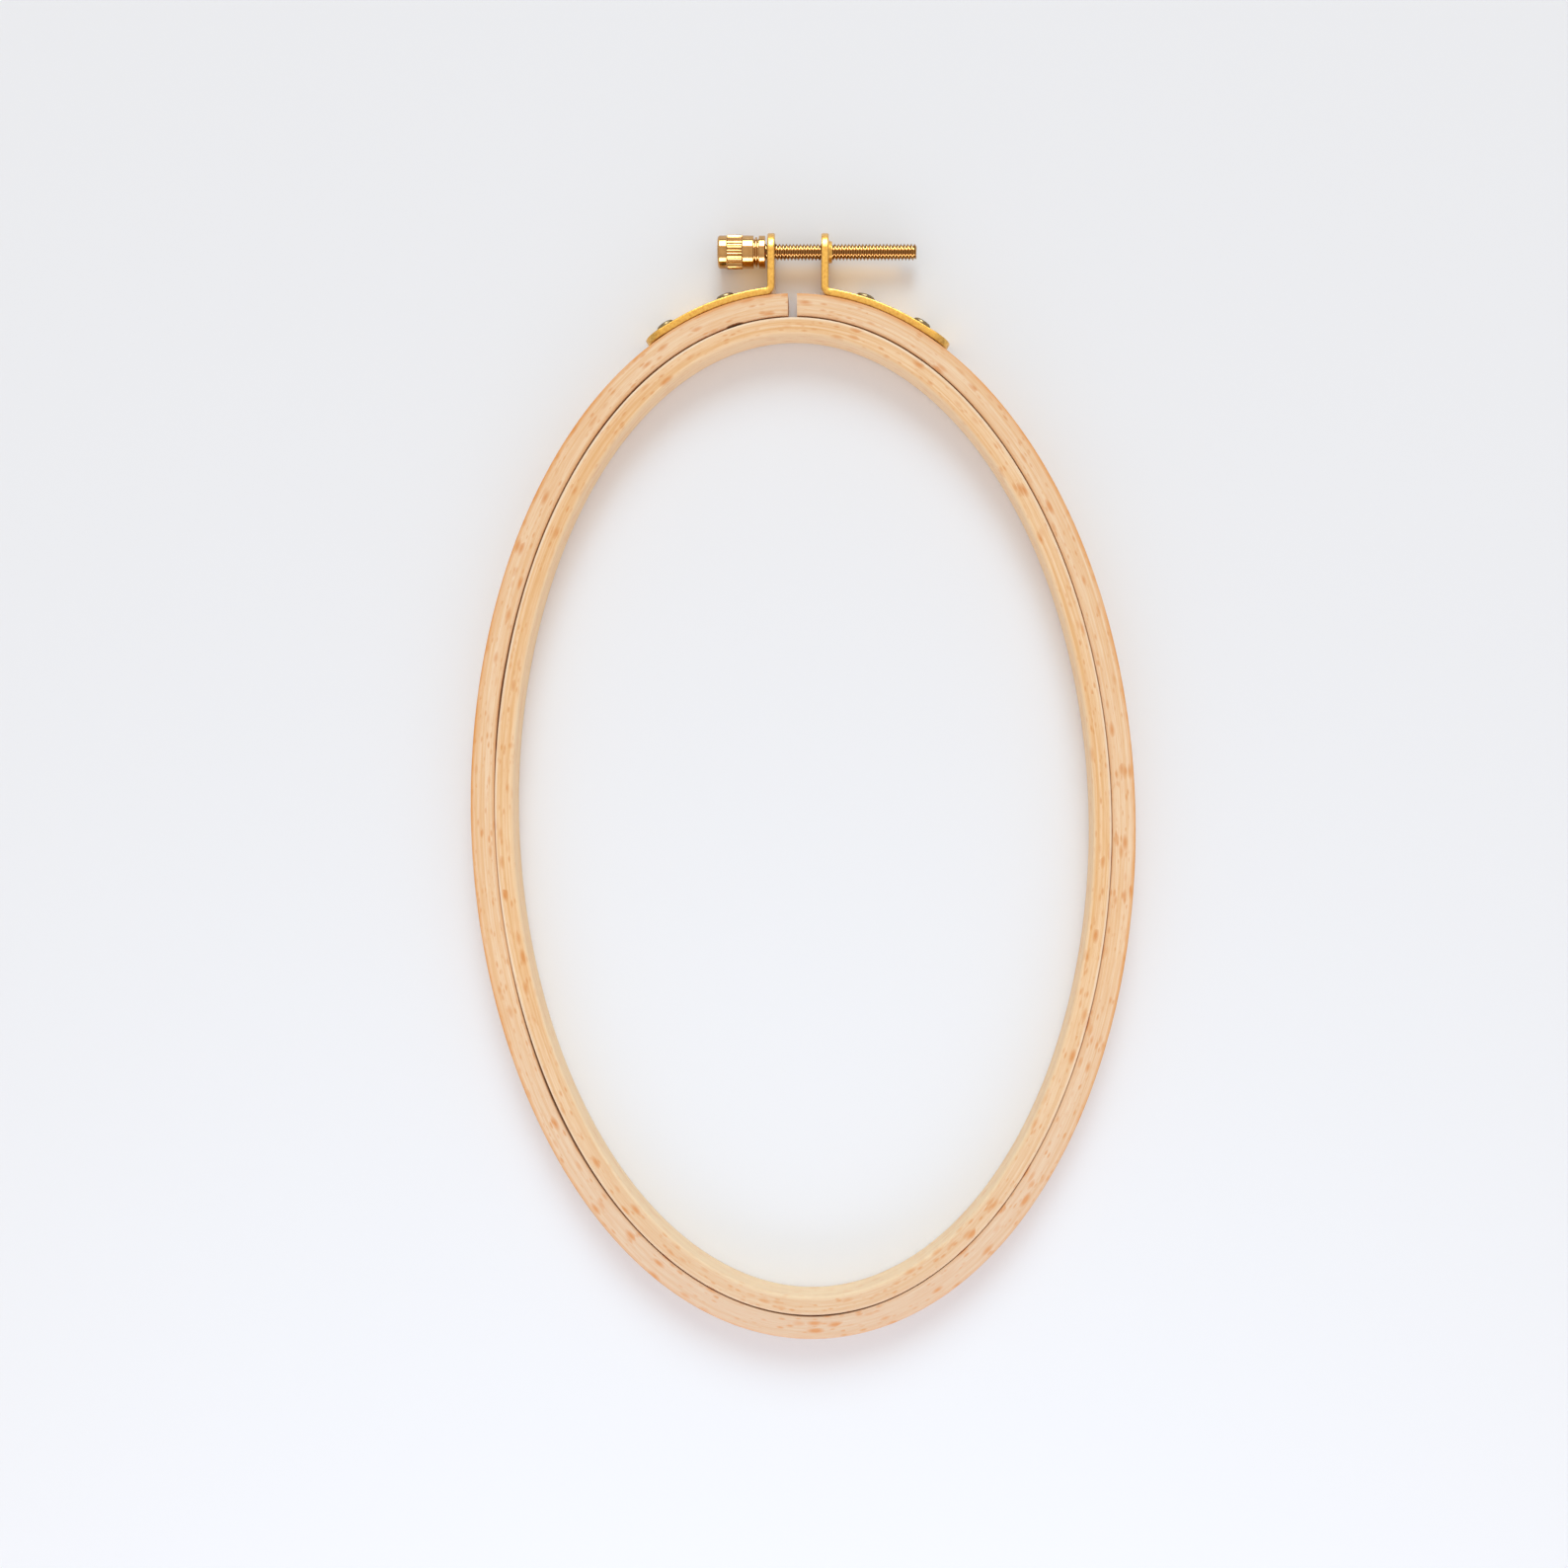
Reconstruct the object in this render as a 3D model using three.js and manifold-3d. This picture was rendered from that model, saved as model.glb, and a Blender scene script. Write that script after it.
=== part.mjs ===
// Oval screw hoop for embroidery: an inner and an outer hoop of bent beech. The outer one is a
// split strip, and a brass clamp with a knurled screw draws its two ends together.
//
// Millimetres. +X runs along the screw towards its tip, +Y from the middle of the oval towards
// the clamp, +Z up from the table. The origin is the middle of the part's outline on the table.
import * as THREE from "three";
import { mergeVertices } from "three/addons/utils/BufferGeometryUtils.js";
import Module from "manifold-3d";

// Wooden hoops
const hoopWidth = 140.2; // over the outside of the inner hoop, across the oval
const hoopLength = 226.9; // the same along the oval
const hoopHeight = 9.5;
const innerThickness = 4.2;
const outerThickness = 5.15;
const hoopClearance = 0.3; // all round, between the two hoops
const edgeRadius = 0.5; // eased edges of both hoops
const ovalLean = 1.6; // degrees by which the oval's long axis leans from square to the screw
const splitWidth = 2.1; // gap between the ends of the outer hoop
const splitShift = 0.5; // how far the split lies left of the oval's highest point
const flexSeam = 0.1; // slit at the far end, where the model parts the strip so that it can open

// Clamp brackets, bent from round-ended brass strip
const stripThickness = 1.7;
const stripWidth = 8.5;
const bendRadius = 0.6; // inside the bend
const screwHeight = 10.4; // screw axis above the outer hoop's outside, at the split
const legLength = 31.3; // from the upright's near face to the tip
const flatTip = 7.5; // of the leg's length, left straight and so clear of the curved wood
const seatClearance = 0.12; // between wood and strip
const leftReach = 4.05; // from the middle of the split to the upright's near face
const rightReach = 6.55;
const leftNearRivet = 10.9; // along the leg, from the upright's near face
const rightNearRivet = 9.6;
const leftFarRivet = 5.8; // along the leg, from its tip
const rightFarRivet = 8;
const tapLipFoot = 0.45; // wall of the lip that the tapped hole raises on the right bracket
const tapLipCrest = 0.25;
const tapLipLength = 0.75;

// Tubular rivets
const rivetShankRadius = 1.2;
const rivetBoreRadius = 0.55;
const rivetHeadRadius = 2.15;
const rivetHeadHeight = 1.3;
const rivetHeadRound = 0.35;
const rivetTailRadius = 1.9;
const rivetTailHeight = 0.4;
const rivetClearance = 0.25; // round the shank, the tail and under the head

// Clamp screw, turned from brass
const threadRadius = 1.9;
const threadDepth = 0.45;
const threadPitch = 0.794; // 32 turns to the inch
const threadChamfer = 0.5;
const screwLength = 34.6; // under the collar
const boreClearance = 0.3; // round the screw in both brackets
const collarClearance = 0.55; // between the collar and the left bracket
const knobRadius = 3.85;
const collarRadius = 3.75;
const grooveRadius = 2.9;
const ringRadius = 3.4;
const collarLength = 1.45;
const grooveLength = 0.4; // each of the two grooves beside the ring
const ringLength = 0.4;
const bandLength = 2.45;
const knurlLength = 3.7;
const endLength = 2.05;
const endChamfer = 0.55;
const knurlRidges = 26;
const knurlDepth = 0.3;

// Smoothness
const ovalSteps = 120;
const legSteps = 12;
const bendSteps = 4;
const turnedSteps = 24;
const holeSteps = 16;
const threadSteps = 10; // per turn

const overrun = 2; // how far a cutter reaches past what it cuts
const mergeDistance = 1e-4;
const halvings = 50; // when a value is found between two others
const strides = 400; // along the oval, when a length on it is laid off
const nudge = 1e-4; // radians, over which the oval's speed is measured

const wasm = await Module();
wasm.setup();

function solidFrom(geometry) {
  const bare = geometry.clone();
  bare.deleteAttribute("normal");
  bare.deleteAttribute("uv");
  const merged = mergeVertices(bare, mergeDistance);
  return new wasm.Manifold(
    new wasm.Mesh({
      numProp: 3,
      vertProperties: merged.getAttribute("position").array,
      triVerts: Uint32Array.from(merged.getIndex().array),
    }),
  );
}

function geometryFrom(solid) {
  const mesh = solid.getMesh();
  const geometry = new THREE.BufferGeometry();
  geometry.setAttribute("position", new THREE.BufferAttribute(mesh.vertProperties, mesh.numProp));
  geometry.setIndex(new THREE.BufferAttribute(mesh.triVerts, 1));
  geometry.computeVertexNormals();
  return geometry;
}

// The oval is the inner hoop's outside. A curve at an offset from it is what a bent strip follows.
const halfWidth = hoopWidth / 2;
const halfLength = hoopLength / 2;
const lean = THREE.MathUtils.degToRad(ovalLean);
const centre = new THREE.Vector2(0, 0);
const outerInside = hoopClearance;
const outerOutside = outerInside + outerThickness;
const midHeight = hoopHeight / 2;

function ovalNormal(angle) {
  const normal = new THREE.Vector2(Math.cos(angle) / halfWidth, Math.sin(angle) / halfLength);
  return normal.normalize().rotateAround(centre, lean);
}

function ovalPoint(angle, offset) {
  const point = new THREE.Vector2(halfWidth * Math.cos(angle), halfLength * Math.sin(angle));
  return point.rotateAround(centre, lean).addScaledVector(ovalNormal(angle), offset);
}

function ovalLoop(offset) {
  const points = [];
  for (let step = 0; step < ovalSteps; step += 1) {
    points.push(ovalPoint((step / ovalSteps) * 2 * Math.PI, offset));
  }
  return points;
}

// The value between low and high at which a rising function reaches zero
function solve(rising, low, high) {
  let bottom = low;
  let top = high;
  for (let halving = 0; halving < halvings; halving += 1) {
    const middle = (bottom + top) / 2;
    if (rising(middle) < 0) bottom = middle;
    else top = middle;
  }
  return (bottom + top) / 2;
}

// The clamp sits close to the oval's highest point, and the strip flexes at its lowest
const topAngle = solve((angle) => -ovalNormal(angle).x, 0, Math.PI);
const highest = ovalPoint(topAngle, outerOutside);
const splitX = highest.x - splitShift;
const splitAngle = solve((angle) => splitX - ovalPoint(angle, outerOutside).x, 0, Math.PI);
const split = ovalPoint(splitAngle, outerOutside);
const flex = highest.clone().negate();

// The angle of the point that lies a distance along the outer hoop's outside from the split,
// to the right where side is 1 and to the left where it is -1
function angleAlong(distance, side) {
  const stride = distance / strides;
  let angle = splitAngle;
  for (let step = 0; step < strides; step += 1) {
    const here = ovalPoint(angle, outerOutside);
    const ahead = ovalPoint(angle - side * nudge, outerOutside);
    angle -= (side * nudge * stride) / here.distanceTo(ahead);
  }
  return angle;
}

function extrudeUp(outline, bottom, top) {
  const options = { depth: top - bottom, bevelEnabled: false };
  const geometry = new THREE.ExtrudeGeometry(new THREE.Shape(outline), options);
  return geometry.translate(0, 0, bottom);
}

// A hoop between two offsets from the oval, with eased edges
function hoopSolid(outside, inside) {
  const shape = new THREE.Shape(ovalLoop(outside));
  shape.holes.push(new THREE.Path(ovalLoop(inside)));
  const geometry = new THREE.ExtrudeGeometry(shape, {
    depth: hoopHeight - 2 * edgeRadius,
    bevelEnabled: true,
    bevelSegments: 1,
    bevelSize: edgeRadius,
    bevelThickness: edgeRadius,
    bevelOffset: -edgeRadius,
  });
  return solidFrom(geometry.translate(0, 0, edgeRadius));
}

// Everything on one side of the split and the flex seam
function sideCutter(side) {
  const reach = side * (halfLength + outerOutside + overrun);
  const far = Math.abs(reach);
  const outline = [
    new THREE.Vector2(split.x + (side * splitWidth) / 2, 0),
    new THREE.Vector2(split.x + (side * splitWidth) / 2, far),
    new THREE.Vector2(reach, far),
    new THREE.Vector2(reach, -far),
    new THREE.Vector2(flex.x + (side * flexSeam) / 2, -far),
    new THREE.Vector2(flex.x + (side * flexSeam) / 2, 0),
  ];
  return solidFrom(extrudeUp(outline, -overrun, hoopHeight + overrun));
}

// A turned shape, from a profile of radius and distance along the axis, with its axis on +Z
function turned(profile, steps) {
  const points = profile.map(([radius, along]) => new THREE.Vector2(radius, along));
  return new THREE.LatheGeometry(points, steps).rotateX(Math.PI / 2);
}

function rod(radius, from, to, steps) {
  return turned([[0, from], [radius, from], [radius, to], [0, to]], steps);
}

// Places a shape made along +Z so that it points out of the oval at an angle, at half height
function placeOutward(geometry, angle, offset) {
  const normal = ovalNormal(angle);
  const point = ovalPoint(angle, offset);
  geometry.rotateX(-Math.PI / 2).rotateZ(Math.atan2(normal.y, normal.x) - Math.PI / 2);
  return geometry.translate(point.x, point.y, midHeight);
}

// A clamp bracket seen from above: a path down the upright, round the bend and along the wood
const stripSeat = outerOutside + seatClearance;
const stripMiddle = stripSeat + stripThickness / 2;
const stripOutside = stripSeat + stripThickness;
const bendMiddle = bendRadius + stripThickness / 2;
const screwY = split.y + screwHeight;
const uprightTop = screwY + stripWidth / 2;

function bracketFrame(side, reach) {
  const uprightX = split.x + side * (reach + stripThickness / 2);
  const bendX = uprightX + side * bendMiddle;
  const overWood = stripMiddle + bendMiddle;
  const legStart = solve((angle) => bendX - ovalPoint(angle, overWood).x, 0, Math.PI);
  const bendCentre = ovalPoint(legStart, overWood);
  const flatAngle = angleAlong(reach + legLength - flatTip, side);
  const tipDirection = ovalNormal(flatAngle).rotateAround(centre, (-side * Math.PI) / 2);
  const tip = ovalPoint(flatAngle, stripMiddle).addScaledVector(tipDirection, flatTip);
  return { side, uprightX, legStart, bendCentre, flatAngle, tip, tipDirection };
}

// Points on the strip's two faces, from the top of the upright to the tip of the leg
function bracketOutline(frame) {
  const { side, uprightX, legStart, bendCentre, flatAngle, tip } = frame;
  const near = [];
  const far = [];
  const add = (point, outward, half) => {
    near.push(point.clone().addScaledVector(outward, half));
    far.push(point.clone().addScaledVector(outward, -half));
  };
  const half = stripThickness / 2;
  const towardsGap = new THREE.Vector2(-side, 0);
  add(new THREE.Vector2(uprightX, uprightTop), towardsGap, half);
  const legNormal = ovalNormal(legStart).negate();
  const bendSweep = towardsGap.angleTo(legNormal);
  for (let step = 0; step <= bendSteps; step += 1) {
    const outward = towardsGap.clone().rotateAround(centre, (side * bendSweep * step) / bendSteps);
    add(bendCentre.clone().addScaledVector(outward, bendMiddle), outward, half);
  }
  for (let step = 1; step <= legSteps; step += 1) {
    const angle = legStart + ((flatAngle - legStart) * step) / legSteps;
    add(ovalPoint(angle, stripMiddle), ovalNormal(angle).negate(), half);
  }
  add(tip, ovalNormal(flatAngle).negate(), half);
  return [...near, ...far.reverse()];
}

// What a round end leaves standing, to be cut away: it runs along +X from the round's middle,
// and lies across the strip's width
function endCutter() {
  const round = stripWidth / 2;
  const wide = round + overrun;
  const shape = new THREE.Shape();
  shape.moveTo(0, round);
  shape.lineTo(0, wide);
  shape.lineTo(wide, wide);
  shape.lineTo(wide, -wide);
  shape.lineTo(0, -wide);
  shape.lineTo(0, -round);
  shape.absarc(0, 0, round, -Math.PI / 2, Math.PI / 2, false);
  const depth = 2 * overrun + stripThickness;
  const options = { depth, bevelEnabled: false, curveSegments: holeSteps };
  return new THREE.ExtrudeGeometry(shape, options).translate(0, 0, -depth / 2);
}

// Turns the cutter so that its +X points along a direction in the plan and its depth across it
function placeCutter(geometry, point, direction) {
  geometry.rotateX(Math.PI / 2).rotateZ(Math.atan2(direction.y, direction.x));
  return solidFrom(geometry.translate(point.x, point.y, midHeight));
}

function holeAcross(radius, from, to) {
  const geometry = rod(radius, from, to, holeSteps).rotateY(Math.PI / 2);
  return solidFrom(geometry.translate(0, screwY, midHeight));
}

function bracketSolid(frame, rivetAngles, tapped) {
  const outline = bracketOutline(frame);
  const bottom = midHeight - stripWidth / 2;
  let solid = solidFrom(extrudeUp(outline, bottom, bottom + stripWidth));
  const up = new THREE.Vector2(0, 1);
  solid = solid.subtract(placeCutter(endCutter(), new THREE.Vector2(frame.uprightX, screwY), up));
  const round = frame.tip.clone().addScaledVector(frame.tipDirection, -stripWidth / 2);
  solid = solid.subtract(placeCutter(endCutter(), round, frame.tipDirection));
  const boreRadius = threadRadius + boreClearance;
  if (tapped) solid = solid.add(tapLip(frame, boreRadius));
  const reachAcross = stripThickness + tapLipLength + overrun;
  const bore = holeAcross(boreRadius, frame.uprightX - reachAcross, frame.uprightX + reachAcross);
  solid = solid.subtract(bore);
  for (const angle of rivetAngles) {
    const hole = rod(rivetShankRadius + rivetClearance, -overrun, stripThickness + overrun, holeSteps);
    solid = solid.subtract(solidFrom(placeOutward(hole, angle, stripSeat)));
  }
  return solid;
}

// The low cone of metal that stands round a tapped hole, on the side away from the split
function tapLip(frame, boreRadius) {
  const foot = boreRadius + tapLipFoot;
  const crest = boreRadius + tapLipCrest;
  const face = stripThickness / 2;
  const profile = [[0, 0], [foot, 0], [foot, face], [crest, face + tapLipLength], [0, face + tapLipLength]];
  const geometry = turned(profile, holeSteps).rotateY((frame.side * Math.PI) / 2);
  return solidFrom(geometry.translate(frame.uprightX, screwY, midHeight));
}

// Room in the wood for a rivet: a hole for the shank, and a recess for the tail on the inside
function rivetPocket(angle) {
  const shank = rod(rivetShankRadius + rivetClearance, -overrun, outerThickness + overrun, holeSteps);
  const depth = rivetTailHeight + 2 * rivetClearance;
  const recess = rod(rivetTailRadius + rivetClearance, -overrun, depth, holeSteps);
  const shankSolid = solidFrom(placeOutward(shank, angle, outerInside));
  return shankSolid.add(solidFrom(placeOutward(recess, angle, outerInside)));
}

function rivetGeometry(angle) {
  const tailBottom = rivetClearance;
  const tailTop = tailBottom + rivetTailHeight;
  const headBottom = stripOutside - outerInside + rivetClearance / 2;
  const headTop = headBottom + rivetHeadHeight;
  const profile = [
    [rivetBoreRadius, tailBottom],
    [rivetTailRadius, tailBottom],
    [rivetTailRadius, tailTop],
    [rivetShankRadius, tailTop],
    [rivetShankRadius, headBottom],
    [rivetHeadRadius, headBottom],
    [rivetHeadRadius, headTop - rivetHeadRound],
    [rivetHeadRadius - rivetHeadRound, headTop],
    [rivetBoreRadius + rivetHeadRound, headTop],
    [rivetBoreRadius, headTop - rivetHeadRound],
    [rivetBoreRadius, tailBottom],
  ];
  return placeOutward(turned(profile, holeSteps), angle, outerInside);
}

// The screw is made along +Z with the collar's face at 0 and its tip at the top
const screwStart = split.x - leftReach - stripThickness - collarClearance;

function knobProfile() {
  const groove = [grooveRadius, grooveLength];
  const profile = [[0, 0], [collarRadius, 0]];
  let along = -collarLength;
  profile.push([collarRadius, along]);
  for (const [radius, length] of [groove, [ringRadius, ringLength], groove]) {
    profile.push([radius, along], [radius, along - length]);
    along -= length;
  }
  profile.push([knobRadius, along]);
  along -= bandLength;
  const knurlTop = along;
  along -= knurlLength;
  profile.push([knobRadius, knurlTop], [knobRadius - knurlDepth, knurlTop]);
  profile.push([knobRadius - knurlDepth, along], [knobRadius, along]);
  profile.push([knobRadius, along - endLength + endChamfer]);
  profile.push([knobRadius - endChamfer, along - endLength], [0, along - endLength]);
  return { profile: profile.reverse(), knurlTop };
}

function knurlGeometry(top) {
  const outline = [];
  for (let step = 0; step < 2 * knurlRidges; step += 1) {
    const angle = (step * Math.PI) / knurlRidges;
    const radius = step % 2 === 0 ? knobRadius : knobRadius - knurlDepth;
    outline.push(new THREE.Vector2(radius * Math.cos(angle), radius * Math.sin(angle)));
  }
  return extrudeUp(outline, top - knurlLength, top);
}

// A long threaded core: rows of points wind round the axis, crest and root by turns
function threadGeometry(from, to) {
  const turns = Math.ceil((to - from) / threadPitch) + 2;
  const rows = 2 * turns + 1;
  const positions = [];
  const indices = [];
  const lift = (row, step) => from - threadPitch + (row / 2 + step / threadSteps) * threadPitch;
  for (let row = 0; row < rows; row += 1) {
    const radius = row % 2 === 0 ? threadRadius : threadRadius - threadDepth;
    for (let step = 0; step < threadSteps; step += 1) {
      const angle = (step / threadSteps) * 2 * Math.PI;
      positions.push(radius * Math.cos(angle), radius * Math.sin(angle), lift(row, step));
    }
  }
  const at = (row, step) => (step < threadSteps ? row * threadSteps + step : (row + 2) * threadSteps);
  for (let row = 0; row < rows - 3; row += 1) {
    for (let step = 0; step < threadSteps; step += 1) {
      const corners = [at(row, step), at(row, step + 1), at(row + 1, step + 1), at(row + 1, step)];
      indices.push(corners[0], corners[1], corners[2], corners[0], corners[2], corners[3]);
    }
  }
  const cap = (row, height, outwards) => {
    const hub = positions.length / 3;
    positions.push(0, 0, height);
    const rim = [];
    for (let step = 0; step <= threadSteps; step += 1) rim.push(at(row, step));
    rim.push(at(row + 1, 0));
    for (let corner = 0; corner < rim.length; corner += 1) {
      const next = rim[(corner + 1) % rim.length];
      if (outwards) indices.push(hub, rim[corner], next);
      else indices.push(hub, next, rim[corner]);
    }
  };
  cap(0, lift(0, threadSteps / 2), false);
  cap(rows - 3, lift(rows - 3, threadSteps / 2), true);
  const geometry = new THREE.BufferGeometry();
  geometry.setAttribute("position", new THREE.Float32BufferAttribute(positions, 3));
  geometry.setIndex(indices);
  return geometry;
}

function screwGeometry() {
  const { profile, knurlTop } = knobProfile();
  const knob = solidFrom(turned(profile, turnedSteps));
  const knurl = solidFrom(knurlGeometry(knurlTop));
  const envelope = turned(
    [
      [0, -collarLength / 2],
      [threadRadius + threadChamfer, -collarLength / 2],
      [threadRadius + threadChamfer, screwLength - 2 * threadChamfer],
      [threadRadius - threadChamfer, screwLength],
      [0, screwLength],
    ],
    turnedSteps,
  );
  const thread = solidFrom(threadGeometry(-collarLength, screwLength + threadPitch));
  const shaft = thread.intersect(solidFrom(envelope));
  const geometry = geometryFrom(knob.add(knurl).add(shaft));
  return geometry.rotateY(Math.PI / 2).translate(screwStart, screwY, midHeight);
}

// Materials
const beech = { color: "#e6c399", roughness: 0.6, metalness: 0 };
const warmBeech = { color: "#e2b98c", roughness: 0.6, metalness: 0 };
const brassStrip = { color: "#e0ac4c", roughness: 0.35, metalness: 1 };
const turnedBrass = { color: "#e8bf6a", roughness: 0.25, metalness: 1 };
const rivetBrass = { color: "#b9a071", roughness: 0.4, metalness: 1 };

const parts = new THREE.Group();

function place(name, geometry, finish) {
  const mesh = new THREE.Mesh(geometry, new THREE.MeshStandardMaterial(finish));
  mesh.name = name;
  parts.add(mesh);
}

const sides = [
  {
    label: "left",
    side: -1,
    reach: leftReach,
    nearRivet: leftNearRivet,
    farRivet: leftFarRivet,
    tapped: false,
  },
  {
    label: "right",
    side: 1,
    reach: rightReach,
    nearRivet: rightNearRivet,
    farRivet: rightFarRivet,
    tapped: true,
  },
];

const outerSolid = hoopSolid(outerOutside, outerInside);
for (const { label, side, reach, nearRivet, farRivet, tapped } of sides) {
  const nearAngle = angleAlong(reach + nearRivet, side);
  const farAngle = angleAlong(reach + legLength - farRivet, side);
  const bracket = bracketSolid(bracketFrame(side, reach), [nearAngle, farAngle], tapped);
  const pockets = rivetPocket(nearAngle).add(rivetPocket(farAngle));
  const half = outerSolid.intersect(sideCutter(side)).subtract(pockets);
  place(`outer_hoop_${label}`, geometryFrom(half), beech);
  place(`bracket_${label}`, geometryFrom(bracket), brassStrip);
  place(`rivet_${label}_near`, rivetGeometry(nearAngle), rivetBrass);
  place(`rivet_${label}_far`, rivetGeometry(farAngle), rivetBrass);
}
place("inner_hoop", geometryFrom(hoopSolid(0, -innerThickness)), warmBeech);
place("clamp_screw", screwGeometry(), turnedBrass);

// The origin goes to the middle of the outline, from the outer hoop's far end to the brackets' tops
parts.position.y = -(flex.y + uprightTop) / 2;

const part = new THREE.Group();
part.add(parts);
export default part;
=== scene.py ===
# %% [markdown]
# # An oval screw embroidery hoop
# Two hoops of bent beech hold the cloth between them. The inner hoop is a closed ring. The outer
# one is split, and a brass clamp with a knurled screw draws its ends together. The fixed model of
# the hoop is loaded first, and every piece made here is laid over it at its real size, in metres.

# %% Load the fixed model
import math

import bmesh
import bpy
import numpy as np
from mathutils import Matrix, Vector


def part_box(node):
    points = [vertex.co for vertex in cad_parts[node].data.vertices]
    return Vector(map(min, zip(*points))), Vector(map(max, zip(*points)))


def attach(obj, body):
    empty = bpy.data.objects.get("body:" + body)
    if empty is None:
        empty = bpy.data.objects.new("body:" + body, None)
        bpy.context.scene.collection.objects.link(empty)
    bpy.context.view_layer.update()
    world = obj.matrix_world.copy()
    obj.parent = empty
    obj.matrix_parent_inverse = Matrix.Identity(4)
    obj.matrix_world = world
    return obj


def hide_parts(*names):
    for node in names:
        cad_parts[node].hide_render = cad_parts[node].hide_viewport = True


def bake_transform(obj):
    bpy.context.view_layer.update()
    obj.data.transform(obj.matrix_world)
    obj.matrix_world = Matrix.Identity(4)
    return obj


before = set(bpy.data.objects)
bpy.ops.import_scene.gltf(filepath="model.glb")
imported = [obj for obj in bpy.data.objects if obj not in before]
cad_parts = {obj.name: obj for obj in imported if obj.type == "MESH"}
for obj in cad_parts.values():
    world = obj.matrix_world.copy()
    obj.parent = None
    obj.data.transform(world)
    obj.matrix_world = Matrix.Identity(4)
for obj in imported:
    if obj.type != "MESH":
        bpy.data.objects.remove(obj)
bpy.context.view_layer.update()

# %% [markdown]
# The sizes are those of the fixed model, so they are written in millimetres and multiplied by `mm`
# where they are used. Places are read from the model's own boxes, so nothing is fitted by eye.

# %% Sizes and places
mm = 0.001
half_width = 70.1 * mm  # of the oval that is the inner hoop's outside
half_length = 113.45 * mm
lean = math.radians(1.6)  # of the oval's long axis, from square to the screw
hoop_height = 9.5 * mm
mid_height = hoop_height / 2
hoop_gap = 0.3 * mm  # between the hoops, where the cloth goes
outer_thickness = 5.15 * mm
outer_outside = hoop_gap + outer_thickness
reach = {"left": 4.05 * mm, "right": 6.55 * mm}  # from the split to each bracket's near face
side_sign = {"left": -1, "right": 1}

inner_low, inner_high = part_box("inner_hoop")
screw_low, screw_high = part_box("clamp_screw")
oval_centre = (inner_low + inner_high) / 2
oval_centre.z = 0
screw_y = (screw_low.y + screw_high.y) / 2
split_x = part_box("bracket_left")[1].x + reach["left"]
print("oval centre", oval_centre, "split at x", split_x, "screw at y", screw_y)

# %% [markdown]
# Everything on the hoop follows one oval. Two functions give its points and the directions that
# point out of it. Lengths along it have no plain formula, so they are added up over many short
# steps.


# %% The oval
def oval_normal(angle):
    """The direction that points out of the oval at an angle."""
    normal = Vector((math.cos(angle) / half_width, math.sin(angle) / half_length, 0))
    return Matrix.Rotation(lean, 3, "Z") @ normal.normalized()


def oval_point(angle, offset):
    """A point on the curve that runs at an offset from the oval, in the plane of the table."""
    point = Vector((half_width * math.cos(angle), half_length * math.sin(angle), 0))
    return oval_centre + Matrix.Rotation(lean, 3, "Z") @ point + offset * oval_normal(angle)


# %% Lengths along the oval
oval_steps = 7200  # short enough to be right to a thousandth of a millimetre
turn_angles = np.linspace(0, 2 * math.pi, oval_steps + 1)
half_turn = oval_steps // 2


def lengths_along(offset):
    """How far along the curve at an offset each of turn_angles lies, and its points."""
    points = np.array([oval_point(angle, offset)[:2] for angle in turn_angles])
    steps = np.hypot(*np.diff(points, axis=0).T)
    return np.concatenate([[0], np.cumsum(steps)]), points


outside_lengths, outside_points = lengths_along(outer_outside)
split_angle = np.interp(-split_x, -outside_points[:half_turn, 0], turn_angles[:half_turn])


def angle_along(distance, side):
    """The angle of the place that lies a distance along the outer hoop's outside from the split."""
    at_split = np.interp(split_angle, turn_angles, outside_lengths)
    return np.interp(at_split - side * distance, outside_lengths, turn_angles)


print("split at", round(math.degrees(split_angle), 2), "degrees round the oval")

# %% [markdown]
# The photograph was taken from straight above with a short lens, so the inner walls of the hoop
# show all round. The camera therefore hangs at its real height over the point where the walls
# vanish, and its shift moves the picture and not the camera.

# %% Camera
camera_data = bpy.data.cameras.new("camera")
camera_data.sensor_width = 36
camera_data.lens = 46
camera_data.shift_x = -0.0353
camera_data.shift_y = -0.0189
camera = bpy.data.objects.new("camera", camera_data)
bpy.context.scene.collection.objects.link(camera)
camera.location = (8.22 * mm, 6.71 * mm, 464.5 * mm)
bpy.context.scene.camera = camera
bpy.context.scene.view_settings.view_transform = "Standard"
print("camera at", camera.location, "looking straight down")

# %% [markdown]
# ## Helpers
# Blender's operators work on what is selected, so each piece starts with nothing selected, and the
# vertices, edges and faces to be shaped are then picked in code by where they are.


# %% Selecting
def only(piece):
    """Makes this the one selected object."""
    bpy.ops.object.select_all(action="DESELECT")
    piece.select_set(True)
    bpy.context.view_layer.objects.active = piece


def start(piece=None, name=None):
    """Goes into edit mode on a piece, or on the primitive that was just added."""
    piece = piece or bpy.context.object
    if name:
        piece.name = piece.data.name = name
    only(piece)
    bpy.ops.object.mode_set(mode="EDIT")
    return piece


def done(piece):
    """Leaves edit mode."""
    bpy.ops.object.mode_set(mode="OBJECT")
    return piece


def pick(kind, test):
    """Selects the vertices, edges or faces that pass a test, and says how many there are."""
    bpy.ops.mesh.select_mode(type={"verts": "VERT", "edges": "EDGE", "faces": "FACE"}[kind])
    bpy.ops.mesh.select_all(action="DESELECT")
    mesh = bmesh.from_edit_mesh(bpy.context.object.data)
    found = [item for item in getattr(mesh, kind) if test(item)]
    for item in found:
        item.select_set(True)
    mesh.select_flush_mode()
    bmesh.update_edit_mesh(bpy.context.object.data)
    return len(found)


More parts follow.
